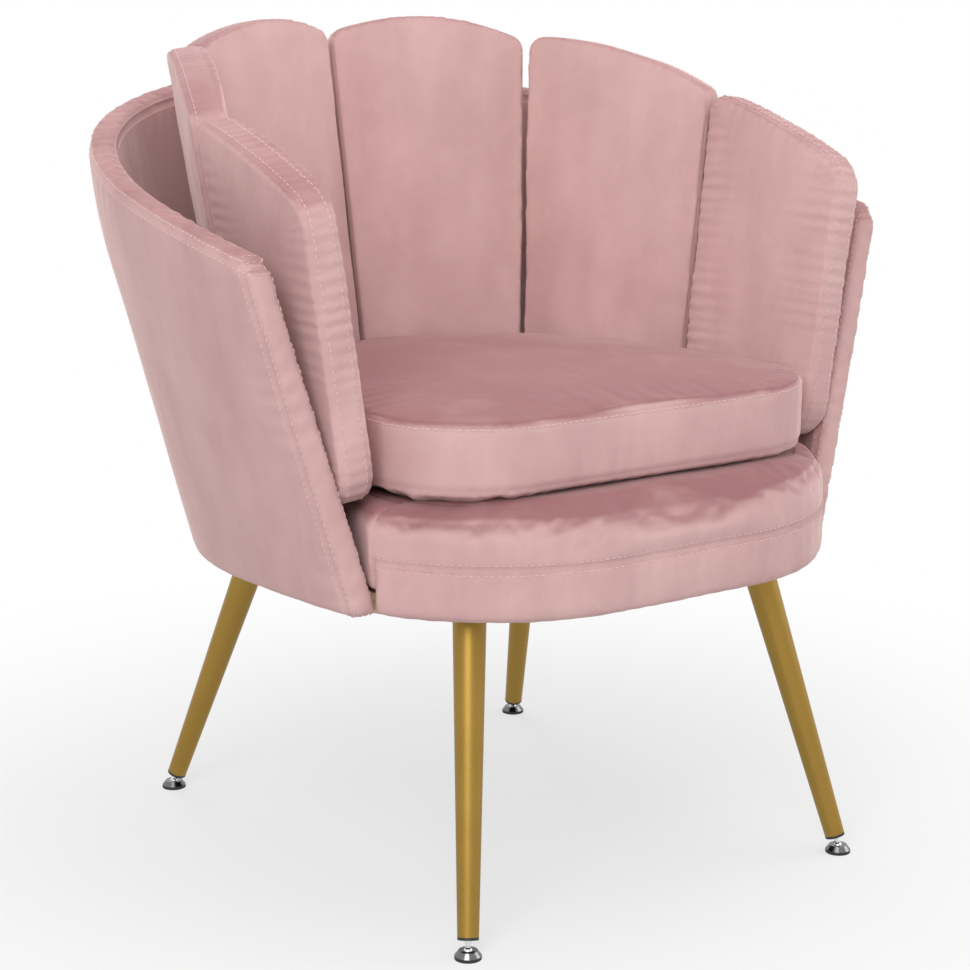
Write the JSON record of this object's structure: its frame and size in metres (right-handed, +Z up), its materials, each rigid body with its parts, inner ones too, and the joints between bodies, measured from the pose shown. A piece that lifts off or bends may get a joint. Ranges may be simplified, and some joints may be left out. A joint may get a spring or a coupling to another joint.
{
  "type": "upholstered tub armchair",
  "caption": "Velvet tub armchair: padded petals stand inside a low curved shell around a loose seat cushion on a padded deck, on splayed tapered metal legs with levelling glides.",
  "frame": {"origin": "on the floor at the middle of the chair's box", "axes": "+Z up, +Y to the chair's back, +X to the right seen from the front"},
  "size_m": [0.7478, 0.6749, 0.7831],
  "materials": {
    "velvet": "dusty rose velvet",
    "foam": "upholstery foam",
    "plywood": "plain plywood",
    "dust_cloth": "black non-woven cloth",
    "brass": "brushed brass colour",
    "steel": "zinc plated",
    "black_plastic": "moulded black",
    "chrome": "bright",
    "glide": "bright cap on a dark base"
  },
  "bodies": {
    "chair_frame": {"arm_petal_left": "velvet", "arm_petal_board_left": "plywood", "arm_petal_right": "velvet", "arm_petal_board_right": "plywood", "side_petal_left": "velvet", "side_petal_board_left": "plywood", "side_petal_right": "velvet", "side_petal_board_right": "plywood", "back_petal_left": "velvet", "back_petal_board_left": "plywood", "back_petal_right": "velvet", "back_petal_board_right": "plywood", "shell_cover": "velvet", "shell_core": "plywood", "deck_cover": "velvet", "deck_foam": "foam", "seat_board": "plywood", "dust_cover": "dust_cloth", "petal_screws": "steel", "plate_screws": "steel", "leg_front_left": "brass", "leg_plate_front_left": "steel", "leg_plug_front_left": "black_plastic", "leg_front_right": "brass", "leg_plate_front_right": "steel", "leg_plug_front_right": "black_plastic", "leg_rear_left": "brass", "leg_plate_rear_left": "steel", "leg_plug_rear_left": "black_plastic", "leg_rear_right": "brass", "leg_plate_rear_right": "steel", "leg_plug_rear_right": "black_plastic"},
    "cushion": {"cushion_cover": "velvet", "cushion_foam": "foam", "cushion_base": "dust_cloth"},
    "stem_front_left": {"glide_stem_front_left": "chrome"},
    "pad_front_left": {"glide_pad_front_left": "glide"},
    "stem_front_right": {"glide_stem_front_right": "chrome"},
    "pad_front_right": {"glide_pad_front_right": "glide"},
    "stem_rear_left": {"glide_stem_rear_left": "chrome"},
    "pad_rear_left": {"glide_pad_rear_left": "glide"},
    "stem_rear_right": {"glide_stem_rear_right": "chrome"},
    "pad_rear_right": {"glide_pad_rear_right": "glide"}
  },
  "joints": [
    {"name": "cushion_lift", "type": "slide", "parent": "chair_frame", "child": "cushion", "axis": [0, 0, 1], "range_m": [0, 0.45]},
    {"name": "stem_screw_front_left", "type": "slide", "parent": "chair_frame", "child": "stem_front_left", "axis": [-0.1779, -0.245, -0.9531], "range_m": [0, 0.008]},
    {"name": "pad_tilt_front_left", "type": "hinge", "parent": "stem_front_left", "child": "pad_front_left", "pos_m": [-0.218, -0.3095, 0.006], "axis": [-0.8092, 0.5875, 0], "range_deg": [-10, 10]},
    {"name": "stem_screw_front_right", "type": "slide", "parent": "chair_frame", "child": "stem_front_right", "axis": [0.1779, -0.245, -0.9531], "range_m": [0, 0.008]},
    {"name": "pad_tilt_front_right", "type": "hinge", "parent": "stem_front_right", "child": "pad_front_right", "pos_m": [0.218, -0.3095, 0.006], "axis": [-0.8092, -0.5875, 0], "range_deg": [-10, 10]},
    {"name": "stem_screw_rear_left", "type": "slide", "parent": "chair_frame", "child": "stem_rear_left", "axis": [-0.1726, 0.3387, -0.9249], "range_m": [0, 0.008]},
    {"name": "pad_tilt_rear_left", "type": "hinge", "parent": "stem_rear_left", "child": "pad_rear_left", "pos_m": [-0.218, 0.2225, 0.006], "axis": [0.891, 0.4541, 0], "range_deg": [-10, 10]},
    {"name": "stem_screw_rear_right", "type": "slide", "parent": "chair_frame", "child": "stem_rear_right", "axis": [0.1726, 0.3387, -0.9249], "range_m": [0, 0.008]},
    {"name": "pad_tilt_rear_right", "type": "hinge", "parent": "stem_rear_right", "child": "pad_rear_right", "pos_m": [0.218, 0.2225, 0.006], "axis": [0.891, -0.4541, 0], "range_deg": [-10, 10]}
  ]
}
